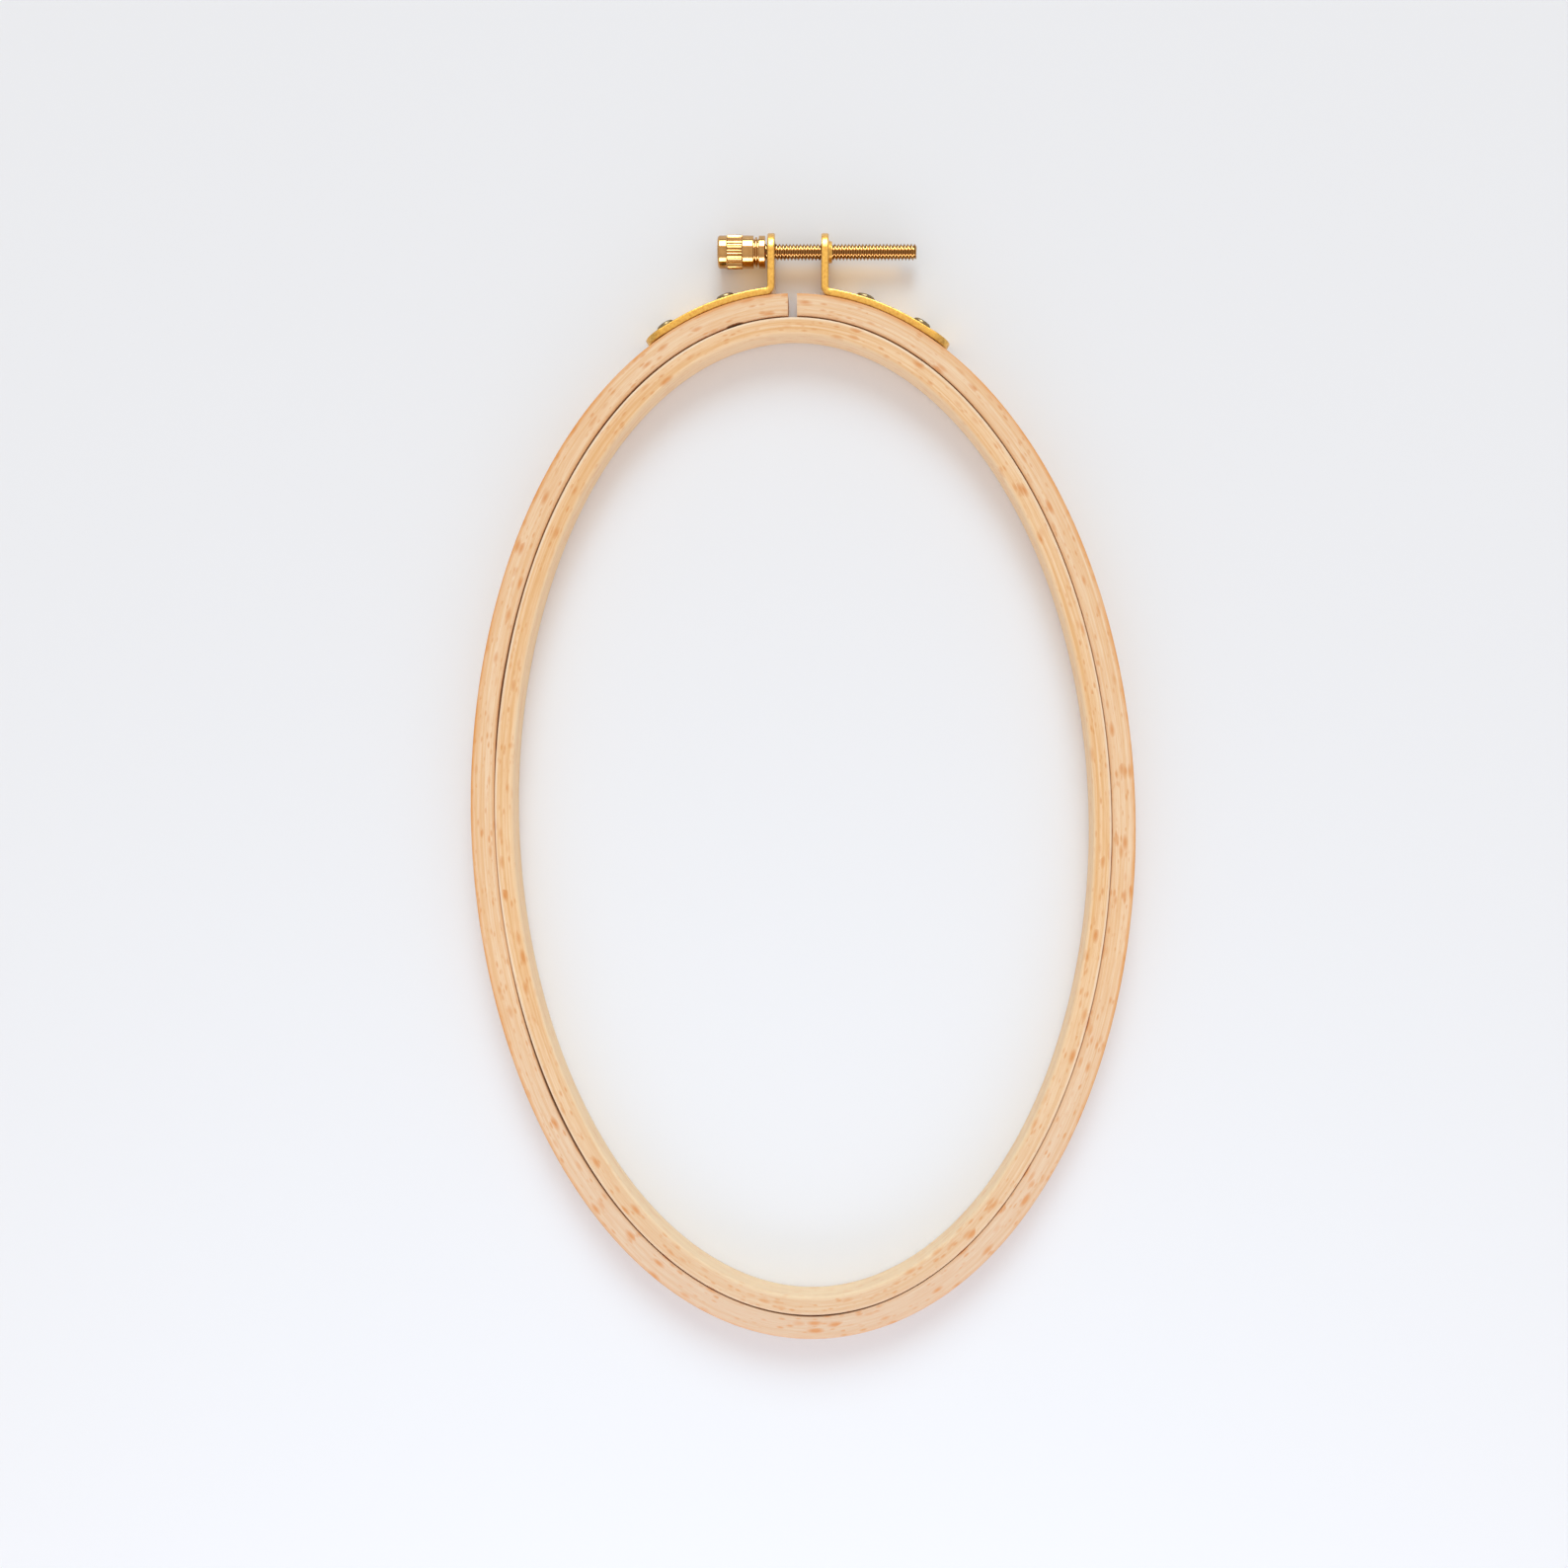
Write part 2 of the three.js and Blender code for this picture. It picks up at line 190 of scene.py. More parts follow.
# %% [markdown]
# A modifier is applied as soon as it is set, so that the next step works on real points. A cut is a
# boolean with a second piece, which is then thrown away like the drill that it stands for.


# %% Modifiers and cuts
def modify(piece, kind, **settings):
    """Adds a modifier with its settings and applies it."""
    only(piece)
    modifier = piece.modifiers.new(kind.lower(), kind)
    for name, value in settings.items():
        setattr(modifier, name, value)
    bpy.ops.object.modifier_apply(modifier=modifier.name)
    return piece


def cut(piece, cutter, operation="DIFFERENCE"):
    """Cuts a piece with another one, or joins them, and removes the other one."""
    modify(piece, "BOOLEAN", object=cutter, operation=operation, solver="EXACT")
    bpy.data.objects.remove(cutter)
    return piece


# %% [markdown]
# A finished piece lies at the origin with its place in its mesh, its faces point outwards, and its
# shading is smooth on the curves and flat on the flats.

# %% Finishing a mesh
double_distance = 0.001 * mm  # points as close as this are one point


def settle(piece):
    """Puts a piece's place and turn into its mesh."""
    only(piece)
    bpy.ops.object.transform_apply(location=True, rotation=True, scale=True)
    return piece


def face_outwards(piece):
    """Merges doubles and turns all faces outwards."""
    start(piece)
    bpy.ops.mesh.select_all(action="SELECT")
    bpy.ops.mesh.remove_doubles(threshold=double_distance)
    bpy.ops.mesh.normals_make_consistent(inside=False)
    return done(piece)


def smooth(piece, degrees=35):
    """Shades a piece smooth up to an angle between its faces, and keeps its large faces flat."""
    only(piece)
    bpy.ops.object.shade_smooth_by_angle(angle=math.radians(degrees))
    return modify(piece, "WEIGHTED_NORMAL", keep_sharp=True)


# %% [markdown]
# Each point of a hoop has a place on the strip that it was bent from: how far along, how far from
# the oval, and how high. The grain runs along the strip, so the wood's pattern needs these numbers
# and not the plain coordinates. The nearest angle on the oval has no formula, so it is found by
# stepping towards it, for all points at once.

# %% Places on the strip
nearest_steps = 12


def on_strip(points):
    """The angle round the oval and the offset from it of each point."""
    flat = points[:, :2] - np.array(oval_centre[:2])
    cosine, sine = math.cos(lean), math.sin(lean)
    x = flat[:, 0] * cosine + flat[:, 1] * sine
    y = flat[:, 1] * cosine - flat[:, 0] * sine
    angle = np.arctan2(y / half_length, x / half_width)
    for _ in range(nearest_steps):
        c, s = np.cos(angle), np.sin(angle)
        away_x, away_y = half_width * c - x, half_length * s - y
        slope = -half_width * s * away_x + half_length * c * away_y
        bend = (
            (half_width * s) ** 2
            + (half_length * c) ** 2
            - half_width * c * away_x
            - half_length * s * away_y
        )
        angle = angle - slope / bend
    c, s = np.cos(angle), np.sin(angle)
    away = np.stack([x - half_width * c, y - half_length * s], 1)
    outward = np.stack([c / half_width, s / half_length], 1)
    outward /= np.linalg.norm(outward, axis=1)[:, None]
    return np.mod(angle, 2 * math.pi), (away * outward).sum(1)


# %% [markdown]
# The places are kept as an attribute of the mesh, which the wood then reads. The length along the
# strip is wound round a circle of the same length, so that the pattern has no seam where it ends.

# %% Marking the grain
inside_lengths, _ = lengths_along(0)
strip_length = inside_lengths[-1]
strip_circle = strip_length / (2 * math.pi)


def points_of(piece):
    """A piece's vertices as an array."""
    found = np.empty(len(piece.data.vertices) * 3)
    piece.data.vertices.foreach_get("co", found)
    return found.reshape(-1, 3)


def mark_grain(piece):
    """Writes each point's place on the strip as the attribute that the wood reads."""
    angle, offset = on_strip(points_of(piece))
    turn = np.interp(angle, turn_angles, inside_lengths) / strip_circle
    grain = np.stack([strip_circle * np.cos(turn), strip_circle * np.sin(turn), offset], 1)
    attribute = piece.data.attributes.new("grain", "FLOAT_VECTOR", "POINT")
    attribute.data.foreach_set("vector", grain.astype(np.float32).ravel())
    return piece


print("the strip is", round(strip_length / mm, 1), "mm long")

# %% [markdown]
# ## The two hoops
# A hoop is a flat strip of beech, steamed and bent to an oval. The model is made the same way: a
# circle is stretched to the oval and drawn upwards to a thin wall, Solidify gives the wall its
# thickness to one side, and Bevel eases the four long edges as the sandpaper does. An extruded
# ellipse wouldn't do, because a strip of even thickness follows a curve that is parallel to the
# oval and isn't an ellipse itself.

# %% Bent strips
oval_sides = 480


def bent_strip(name, gap, thickness, grows):
    """A wall along the oval, pushed out by a gap, and thickened outwards (1) or inwards (-1)."""
    bpy.ops.object.select_all(action="DESELECT")
    bpy.ops.mesh.primitive_circle_add(vertices=oval_sides, radius=1, fill_type="NOTHING")
    hoop = start(name=name)
    bpy.ops.transform.resize(value=(half_width, half_length, 1))
    bpy.ops.transform.rotate(value=-lean, orient_axis="Z", center_override=(0, 0, 0))
    bpy.ops.transform.translate(value=oval_centre)
    bpy.ops.mesh.extrude_edges_move(TRANSFORM_OT_translate={"value": (0, 0, hoop_height)})
    bpy.ops.mesh.select_all(action="SELECT")
    bpy.ops.mesh.normals_make_consistent(inside=False)
    done(hoop)
    face = hoop.data.polygons[0]
    if face.normal.dot(face.center - oval_centre) < 0:
        hoop.data.flip_normals()
    start(hoop)
    bpy.ops.mesh.select_all(action="SELECT")
    bpy.ops.transform.shrink_fatten(value=gap, use_even_offset=True)
    done(hoop)
    modify(hoop, "SOLIDIFY", thickness=thickness, offset=grows, use_even_offset=True)
    return face_outwards(hoop)


# %% [markdown]
# The long edges are the only sharp corners of the strip, so they are picked by the angle between
# their faces, and by the side of the strip that they lie on.

# %% Easing the edges
corner_angle = math.radians(60)  # the strip's corners are square, and the oval's own are slight
hair = 0.1 * mm  # more than a place can be out, and less than any edge


def ease_edges(hoop, radius, test):
    """Rounds the long edges whose offset from the oval passes a test."""
    offsets = on_strip(points_of(hoop))[1]
    start(hoop)
    pick("edges", lambda e: e.calc_face_angle(0) > corner_angle and test(offsets[e.verts[0].index]))
    bpy.ops.mesh.bevel(offset=radius, offset_type="OFFSET", segments=4, affect="EDGES")
    return done(hoop)


# %% [markdown]
# The inner hoop grows inwards from the oval. Its inside edges are rounder than its outside ones.

# %% Inner hoop
inner_thickness = 4.2 * mm
edge_ease = 0.5 * mm
worn_ease = 0.8 * mm  # inside the inner hoop, where the cloth and the hand rub

inner_hoop = bent_strip("beech_inner_hoop", 0, inner_thickness, -1)
ease_edges(inner_hoop, edge_ease, lambda offset: offset > -inner_thickness / 2)
ease_edges(inner_hoop, worn_ease, lambda offset: offset < hair - inner_thickness)
smooth(inner_hoop)
mark_grain(inner_hoop)
print("inner hoop:", len(inner_hoop.data.polygons), "faces")

# %% [markdown]
# The outer hoop never lies on the inner one evenly. The photograph shows the gap closing on the
# right and opening to half a millimetre at the lower left, so the outer hoop's inside is moved in
# and out a little, between a few widths that are measured round the oval.

# %% The uneven gap
gap_round = [  # degrees round the oval, and the gap's width there in millimetres
    (0, 0.1), (15, 0.12), (30, 0.15), (50, 0.24), (70, 0.33), (85, 0.32), (105, 0.3), (120, 0.42),
    (135, 0.28), (150, 0.25), (165, 0.42), (170, 0.28), (174, 0.1), (178, 0.05), (195, 0.06),
    (201, 0.2), (213, 0.48), (235, 0.25), (255, 0.25), (270, 0.42), (285, 0.2), (300, 0.12),
    (330, 0.08), (360, 0.1),
]
gap_degrees, gap_widths = zip(*gap_round)


def open_gap(hoop):
    """Moves the hoop's inside so that the gap has those widths."""
    points = points_of(hoop)
    angle, offset = on_strip(points)
    width = np.interp(np.degrees(angle), gap_degrees, gap_widths) * mm
    push = np.where(offset < hoop_gap + edge_ease / 2, width - hoop_gap, 0)
    outward = np.array([oval_normal(a)[:] for a in angle])
    hoop.data.vertices.foreach_set("co", (points + outward * push[:, None]).ravel())
    hoop.data.update()
    return hoop


print("gap from", min(gap_widths), "to", max(gap_widths), "mm")

# %% [markdown]
# The outer hoop grows outwards from the gap, and a saw then parts it at the clamp. A box does for
# the saw cut, because the split's ends are flat and square.

# %% Outer hoop
split_width = 2.1 * mm
split_depth = 3 * mm  # from the oval to the middle of the split
saw_size = 20 * mm  # well past the strip, along it and up

outer_hoop = bent_strip("beech_outer_hoop", hoop_gap, outer_thickness, 1)
open_gap(outer_hoop)
ease_edges(outer_hoop, edge_ease, lambda offset: True)

split_y = oval_point(split_angle, split_depth).y
bpy.ops.object.select_all(action="DESELECT")
bpy.ops.mesh.primitive_cube_add(size=1, location=(split_x, split_y, mid_height))
saw_cut = bpy.context.object
saw_cut.scale = (split_width, saw_size, saw_size)
cut(outer_hoop, settle(saw_cut))
print("outer hoop:", len(outer_hoop.data.polygons), "faces before the rivets")

# %% [markdown]
# The rivets pass through the wood, and their tails are turned over in shallow recesses inside the
# hoop, so that the inner hoop doesn't catch on them. The places are those of the fixed model's
# rivets, and each hole is bored with a cylinder, as a drill does it.

# %% Rivet recesses
rivet_names = ["rivet_left_near", "rivet_left_far", "rivet_right_near", "rivet_right_far"]
rivet_hole = 1.45 * mm
recess_radius = 2.15 * mm
recess_depth = 0.9 * mm
overrun = 2 * mm  # how far a cutter reaches past what it cuts


def rivet_place(name):
    """A point on the rivet's axis at the oval, and the direction from there to its head."""
    points = points_of(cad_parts[name])
    angle, _ = on_strip(points.mean(0)[None])
    return oval_point(angle[0], 0), oval_normal(angle[0])


def drill(radius, start_point, direction, depth):
    """A round cutter that runs from a point in the plan into the strip, at half height."""
    bpy.ops.object.select_all(action="DESELECT")
    bpy.ops.mesh.primitive_cylinder_add(vertices=32, radius=radius, depth=depth)
    bit = bpy.context.object
    middle = start_point + direction * depth / 2
    bit.location = (middle.x, middle.y, mid_height)
    bit.rotation_mode = "QUATERNION"
    bit.rotation_quaternion = direction.to_track_quat("Z", "Y")
    return settle(bit)


for name in rivet_names:
    place, outward = rivet_place(name)
    before = place + outward * (hoop_gap - overrun)
    cut(outer_hoop, drill(rivet_hole, before, outward, outer_thickness + 2 * overrun))
    cut(outer_hoop, drill(recess_radius, before, outward, overrun + recess_depth))
print("drilled", len(rivet_names), "holes with recesses")

# %% [markdown]
# Beside the left near rivet the inside edge has a small chip, which shows as a dark nick. A
# stretched sphere takes it out of the edge, shallow and thin at both ends.

# %% Nick
nick_length = 4.0 * mm
nick_depth = 0.36 * mm
nick_height = 8 * mm  # half the cutter's height
nick_below = 1 * mm  # from the rim to the cutter's middle

nick_place, nick_outward = rivet_place("rivet_left_near")
nick_middle = nick_place + nick_outward * hoop_gap
bpy.ops.object.select_all(action="DESELECT")
bpy.ops.mesh.primitive_uv_sphere_add(segments=24, ring_count=12, radius=1)
nick = bpy.context.object
nick.location = (nick_middle.x, nick_middle.y, hoop_height - nick_below)
nick.scale = (nick_length / 2, nick_depth, nick_height)
nick.rotation_euler.z = math.atan2(nick_outward.y, nick_outward.x) - math.pi / 2
cut(outer_hoop, settle(nick))
face_outwards(outer_hoop)
smooth(outer_hoop)
mark_grain(outer_hoop)
print("outer hoop:", len(outer_hoop.data.polygons), "faces")

# %% [markdown]
# ## Turned pieces
# The knob and the rivets are turned on a lathe, so they are drawn out in the same way: a circle,
# and then one extrude and one resize for each change of diameter along the axis.


# %% Turning
def turned(name, stations, sides):
    """A shape along +Z from (distance, radius) stations, with both ends closed."""
    along, radius = stations[0]
    bpy.ops.object.select_all(action="DESELECT")
    bpy.ops.mesh.primitive_circle_add(
        vertices=sides, radius=radius, fill_type="NGON", location=(0, 0, along)
    )
    settle(bpy.context.object)
    piece = start(name=name)
    for next_along, next_radius in stations[1:]:
        step = (0, 0, next_along - along)
        bpy.ops.mesh.extrude_region_move(TRANSFORM_OT_translate={"value": step})
        share = next_radius / radius
        bpy.ops.transform.resize(value=(share, share, 1), center_override=(0, 0, next_along))
        along, radius = next_along, next_radius
    done(piece)
    return face_outwards(piece)


def lay_out(piece, place, direction):
    """Turns a piece made along +Z to a direction, and moves it to its place."""
    piece.rotation_mode = "QUATERNION"
    piece.rotation_quaternion = direction.to_track_quat("Z", "Y")
    piece.location = place
    return settle(piece)


# %% [markdown]
# No turned corner is quite sharp. The corners of a profile are rounded before it is turned, which
# gives cleaner arcs than a bevel of the finished piece. A line of points just beyond each arc keeps
# the smooth shading out of the flat beside it.

# %% Rounded profiles
most_of_side = 0.4  # of a side of the profile may go into the arc at its end
beyond_arc = 1.12  # times the arc's length lies the line that holds the flat


def rounded(stations, radius, steps=4):
    """The same stations with their corners rounded."""
    points = [Vector(station) for station in stations]
    result = [points[0]]
    for before, corner, after in zip(points, points[1:], points[2:]):
        back, on = before - corner, after - corner
        room = min(radius, back.length * most_of_side, on.length * most_of_side)
        first, last = corner + back.normalized() * room, corner + on.normalized() * room
        result.append(corner + back.normalized() * room * beyond_arc)
        for share in np.linspace(0, 1, steps + 1):
            a, b = first.lerp(corner, share), corner.lerp(last, share)
            result.append(a.lerp(b, share))
        result.append(corner + on.normalized() * room * beyond_arc)
    result.append(points[-1])
    return [tuple(point) for point in result]


# %% [markdown]
# ## Clamp brackets
# Each bracket is a strip of brass with round ends, stamped flat, tumbled until its edges are soft,
# and then bent. The path that the bent strip follows is worked out first: down the upright, round
# the tight bend, along the wood, and straight on for the tip, which doesn't quite touch the wood.

# %% The path of a bracket
strip_thickness = 1.7 * mm
strip_width = 8.5 * mm
strip_seat = 0.12 * mm  # between the wood and the strip
bend_radius = 0.6 * mm  # inside the bend
leg_length = 31.3 * mm
flat_tip = 7.5 * mm
bend_points = 17
leg_points = 60


def bracket_path(label):
    """Points along the middle of the strip, from the upright's top to the leg's tip."""
    side = side_sign[label]
    strip_middle = outer_outside + strip_seat + strip_thickness / 2
    bend_middle = bend_radius + strip_thickness / 2
    upright_x = split_x + side * (reach[label] + strip_thickness / 2)
    _, over_points = lengths_along(strip_middle + bend_middle)
    bend_x = upright_x + side * bend_middle
    leg_start = np.interp(-bend_x, -over_points[:half_turn, 0], turn_angles[:half_turn])
    bend_centre = oval_point(leg_start, strip_middle + bend_middle)
    flat_angle = angle_along(reach[label] + leg_length - flat_tip, side)
    towards_gap = Vector((-side, 0, 0))
    sweep = towards_gap.angle(-oval_normal(leg_start))
    path = [Vector((upright_x, screw_y + strip_width / 2, 0))]
    for share in np.linspace(0, 1, bend_points):
        outward = Matrix.Rotation(side * sweep * share, 3, "Z") @ towards_gap
        path.append(bend_centre + outward * bend_middle)
    for angle in np.linspace(leg_start, flat_angle, leg_points)[1:]:
        path.append(oval_point(angle, strip_middle))
    along = Matrix.Rotation(-side * math.pi / 2, 3, "Z") @ oval_normal(flat_angle)
    path.append(path[-1] + along * flat_tip)
    return path, bend_middle * sweep


# %% [markdown]
# The flat strip starts as a disc whose one half is moved away, which leaves a straight strip with
# two round ends. A strip without cross cuts couldn't bend, so it gets many where the tight bend
# comes and fewer along the leg.

# %% The flat strip
rim_sides = 96
strip_ease = 0.3 * mm  # tumbled edges
cut_margin = 0.4 * mm  # before and after the bend
fine_cut = 0.14 * mm
coarse_cut = 0.7 * mm


def flat_strip(name, length, bend_from, bend_length):
    """A strip with round ends along +X, standing on its edge, with cross cuts where it bends."""
    bpy.ops.object.select_all(action="DESELECT")
    bpy.ops.mesh.primitive_cylinder_add(
        vertices=rim_sides,
        radius=strip_width / 2,
        depth=strip_thickness,
        location=(strip_width / 2, 0, mid_height),
        rotation=(math.pi / 2, 0, 0),
    )
    strip = settle(bpy.context.object)
    start(strip, name)
    pick("verts", lambda v: v.co.x > strip_width / 2 + hair)
    bpy.ops.transform.translate(value=(length - strip_width, 0, 0))
    done(strip)
    modify(strip, "BEVEL", width=strip_ease, segments=3, angle_limit=corner_angle)
    start(strip)
    fine = np.arange(bend_from - cut_margin, bend_from + bend_length + cut_margin, fine_cut)
    coarse = np.arange(fine[-1] + coarse_cut, length - flat_tip, coarse_cut)
    for place in [*fine, *coarse]:
        bpy.ops.mesh.select_all(action="SELECT")
        bpy.ops.mesh.bisect(plane_co=(place, 0, 0), plane_no=(1, 0, 0))
    return done(strip)


# %% [markdown]
# The Curve modifier then lays the strip along its path. It could be bent vertex by vertex, but the
# modifier keeps its thickness even all the way.


# %% Bending a strip
def bent_bracket(label):
    """The flat strip of one bracket laid along its path."""
    path, bend_length = bracket_path(label)
    length = sum((b - a).length for a, b in zip(path, path[1:]))
    upright_length = (path[1] - path[0]).length
    strip = flat_strip(f"brass_bracket_{label}", length, upright_length, bend_length)
    bpy.ops.object.select_all(action="DESELECT")
    bpy.ops.curve.primitive_nurbs_path_add()
    guide = bpy.context.object
    guide.data.splines.clear()
    spline = guide.data.splines.new("POLY")
    spline.points.add(len(path) - 1)
    for point, place in zip(spline.points, path):
        point.co = (*place, 1)
    guide.data.twist_mode = "Z_UP"
    modify(strip, "CURVE", object=guide, deform_axis="POS_X")
    bpy.data.objects.remove(guide)
    return strip


# %% [markdown]
# The screw passes through a bore in each upright. The right one is tapped, and the punch has raised
# a small lip round it, which is joined on before the bore is drilled through both.

# %% Brackets
bore_radius = 2.2 * mm
lip_foot = 2.6 * mm
lip_crest = 2.4 * mm
lip_length = 0.75 * mm
lip_root = 0.5 * mm  # of the lip lies inside the upright
lip_stations = [(-lip_root, lip_foot), (0, lip_foot), (lip_length, lip_crest)]
hole_start = outer_outside - 0.5 * mm  # a rivet's hole is drilled from inside the wood
round_sides = 48

brackets = {}
for label, side in side_sign.items():
    bracket = bent_bracket(label)
    upright_x = split_x + side * (reach[label] + strip_thickness / 2)
    if label == "right":
        lip = turned("lip", lip_stations, round_sides)
        lip_place = (upright_x + strip_thickness / 2, screw_y, mid_height)
        cut(bracket, lay_out(lip, lip_place, Vector((1, 0, 0))), "UNION")
    bpy.ops.object.select_all(action="DESELECT")
    bpy.ops.mesh.primitive_cylinder_add(
        vertices=round_sides,
        radius=bore_radius,
        depth=4 * strip_thickness,
        location=(upright_x, screw_y, mid_height),
        rotation=(0, math.pi / 2, 0),
    )
    cut(bracket, settle(bpy.context.object))
    for name in rivet_names:
        if label in name:
            place, outward = rivet_place(name)
            seat = place + outward * hole_start
            cut(bracket, drill(rivet_hole, seat, outward, strip_thickness + overrun))
    face_outwards(bracket)
    brackets[label] = smooth(bracket)
    print(bracket.name, "reaches", [round(v / mm, 2) for v in bracket.bound_box[6]], "mm")

# %% [markdown]
# ## Clamp screw
# The clamp screw is one bar: knurled knob, two grooves with a ring between them, a collar that
# bears on the left bracket, and the thread. The knob is turned first, from distances along it and
# radii, both in millimetres and counted from the collar's face.

# %% Knob
knob_radius = 3.85 * mm
smooth_radius = 3.73 * mm  # of the plain bands beside the knurl
knurl_from, knurl_to = 5.1 * mm, 8.8 * mm
knob_start = [
    (0, 1.5), (0, 3.7), (1.45, 3.7), (1.45, 2.9), (1.85, 2.9), (1.85, 3.4), (2.25, 3.4),
    (2.25, 2.9), (2.65, 2.9), (2.65, 3.73), (5.0, 3.73),
]
knob_end = [(8.9, 3.73), (10.5, 3.73), (10.85, 3.4), (10.85, 0.5)]
knurl_step = [(-0.05, smooth_radius), (0.1, knob_radius), (0.25, knob_radius)]  # from its end
knurl_ridges = 26
points_per_ridge = 6
collar_gap = 0.55 * mm  # between the left bracket and the collar
collar_x = split_x - reach["left"] - strip_thickness - collar_gap

knob_stations = [
    *rounded([(a * mm, r * mm) for a, r in knob_start], 0.16 * mm),
    *((knurl_from + inwards * mm, radius) for inwards, radius in knurl_step),
    *((knurl_to - inwards * mm, radius) for inwards, radius in reversed(knurl_step)),
    *rounded([(a * mm, r * mm) for a, r in knob_end], 0.15 * mm, 6),
]
knob = turned("brass_screw_knob", knob_stations, knurl_ridges * points_per_ridge)
print("knob:", len(knob_stations), "stations from the collar's face to the end")

# %% [markdown]
# Straight knurling is pressed in with a wheel, so every groove of it is the same. Here each group
# of six points round the knob makes one ridge: two stay on its crest, and the others are drawn in.

# %% Knurl
groove_depths = {2: 0.13 * mm, 3: 0.3 * mm, 4: 0.3 * mm, 5: 0.13 * mm}
groove_end = 0.2 * mm  # of the knurl's length is left plain at each end


def place_in_ridge(vertex):
    """Which of its ridge's points this is, or None where the vertex isn't on the knurl."""
    if not knurl_from + groove_end < vertex.co.z < knurl_to - groove_end:
        return None
    turn = math.atan2(vertex.co.y, vertex.co.x) / (2 * math.pi)
    return round(turn * knurl_ridges * points_per_ridge) % points_per_ridge


start(knob)
for step, depth in groove_depths.items():
    count = pick("verts", lambda v: place_in_ridge(v) == step)
    share = 1 - depth / knob_radius
    bpy.ops.transform.resize(value=(share, share, 1), center_override=(0, 0, 0))
done(knob)
lay_out(knob, (collar_x, screw_y, mid_height), Vector((-1, 0, 0)))
smooth(knob, 30)
print("knurl:", count, "points in each row of grooves")

# %% [markdown]
# A thread is one groove wound round the shaft. The Screw modifier winds a short profile, one pitch
# long, so many times that it passes both ends. Stacked rings would look much the same, but they
# don't climb, and the real thread does.

# %% Winding the thread
thread_radius = 1.9 * mm
thread_depth = 0.47 * mm
thread_pitch = 0.794 * mm  # 32 turns to the inch
screw_length = 34.6 * mm  # from the collar's face to the tip
spare_turns = 4
turn_sides = 28
thread_profile = [(0, 1), (0.15, 1), (0.5, 0), (0.65, 0), (1, 1)]  # share of the pitch, height

bpy.ops.object.select_all(action="DESELECT")
bpy.ops.mesh.primitive_plane_add(size=thread_pitch, location=(0, 0, 0))
thread = start(name="brass_screw_thread")
bpy.ops.mesh.merge(type="CENTER")
bpy.ops.transform.translate(value=(0, thread_radius, 0))
for (from_along, from_height), (to_along, to_height) in zip(thread_profile, thread_profile[1:]):
    along = (to_along - from_along) * thread_pitch
    rise = (to_height - from_height) * thread_depth
    bpy.ops.mesh.extrude_region_move(TRANSFORM_OT_translate={"value": (along, rise, 0)})
done(thread)
turns = math.ceil(screw_length / thread_pitch) + spare_turns
modify(
    thread,
    "SCREW",
    axis="X",
    steps=turn_sides,
    render_steps=turn_sides,
    iterations=turns,
    screw_offset=thread_pitch,
    use_merge_vertices=True,
    merge_threshold=double_distance,
)
thread.location = (collar_x - spare_turns / 2 * thread_pitch, screw_y, mid_height)
settle(thread)
face_outwards(thread)
print("thread:", turns, "turns")

# %% [markdown]
# Two plane cuts square the thread off, one inside the collar and one at the tip, and their holes
# are filled. The tip is chamfered by moving its points in to the radius that a cone allows there.

# %% Thread's ends
inside_collar = 0.63 * mm
chamfer = 0.35 * mm
tip_x = collar_x + screw_length

start(thread)
for place, side in ((collar_x - inside_collar, -1), (tip_x, 1)):
    bpy.ops.mesh.select_all(action="SELECT")
    bpy.ops.mesh.bisect(plane_co=(place, 0, 0), plane_no=(side, 0, 0), clear_outer=True)
pick("edges", lambda e: len(e.link_faces) == 1)
bpy.ops.mesh.fill_holes(sides=0)
done(thread)
points = points_of(thread)
axis_place = (screw_y, mid_height)
across = points[:, 1:] - axis_place
cone_radii = (thread_radius, thread_radius - chamfer)
allowed = np.interp(points[:, 0], (tip_x - chamfer, tip_x), cone_radii)
share = np.minimum(1, allowed / np.maximum(np.hypot(*across.T), mm * mm))
points[:, 1:] = axis_place + across * share[:, None]
thread.data.vertices.foreach_set("co", points.ravel())
thread.data.update()
face_outwards(thread)
smooth(thread, 25)
print("thread:", len(thread.data.polygons), "faces")

# %% [markdown]
# The rivets are tubular: a low round head with a hole in it, a shank through strip and wood, and a
# tail that is rolled outwards inside the hoop. One profile holds all of it, from the tail's hole to
# the bottom of the head's, and is turned once for each rivet.

# %% Rivets
rivet_profile = [  # distance from the outer hoop's inside, and radius, in millimetres
    (0.75, 0.55), (0.42, 1.25), (0.25, 1.65), (0.4, 1.9), (0.62, 1.7), (0.66, 1.2), (7.12, 1.2),
    (7.12, 2.2), (7.8, 2.2), (8.18, 1.85), (8.18, 1.0), (7.8, 0.62), (7.2, 0.5), (4.5, 0.45),
]
rivet_sides = 40


def rivet(name):
    """One rivet, turned and laid through its bracket."""
    stations = rounded([(a * mm, r * mm) for a, r in rivet_profile], 0.18 * mm, 3)
    piece = turned(f"brass_{name}", stations, rivet_sides)
    place, outward = rivet_place(name)
    foot = place + outward * hoop_gap
    lay_out(piece, (foot.x, foot.y, mid_height), outward)
    return smooth(piece, 50)


rivets = {name: rivet(name) for name in rivet_names}
print("rivets:", sorted(rivets))

# %% [markdown]
# ## Materials
# Colours are written as a screen shows them and turned to linear light by one function. One more
# function adds a node. An input is named, or numbered where two have the same name.


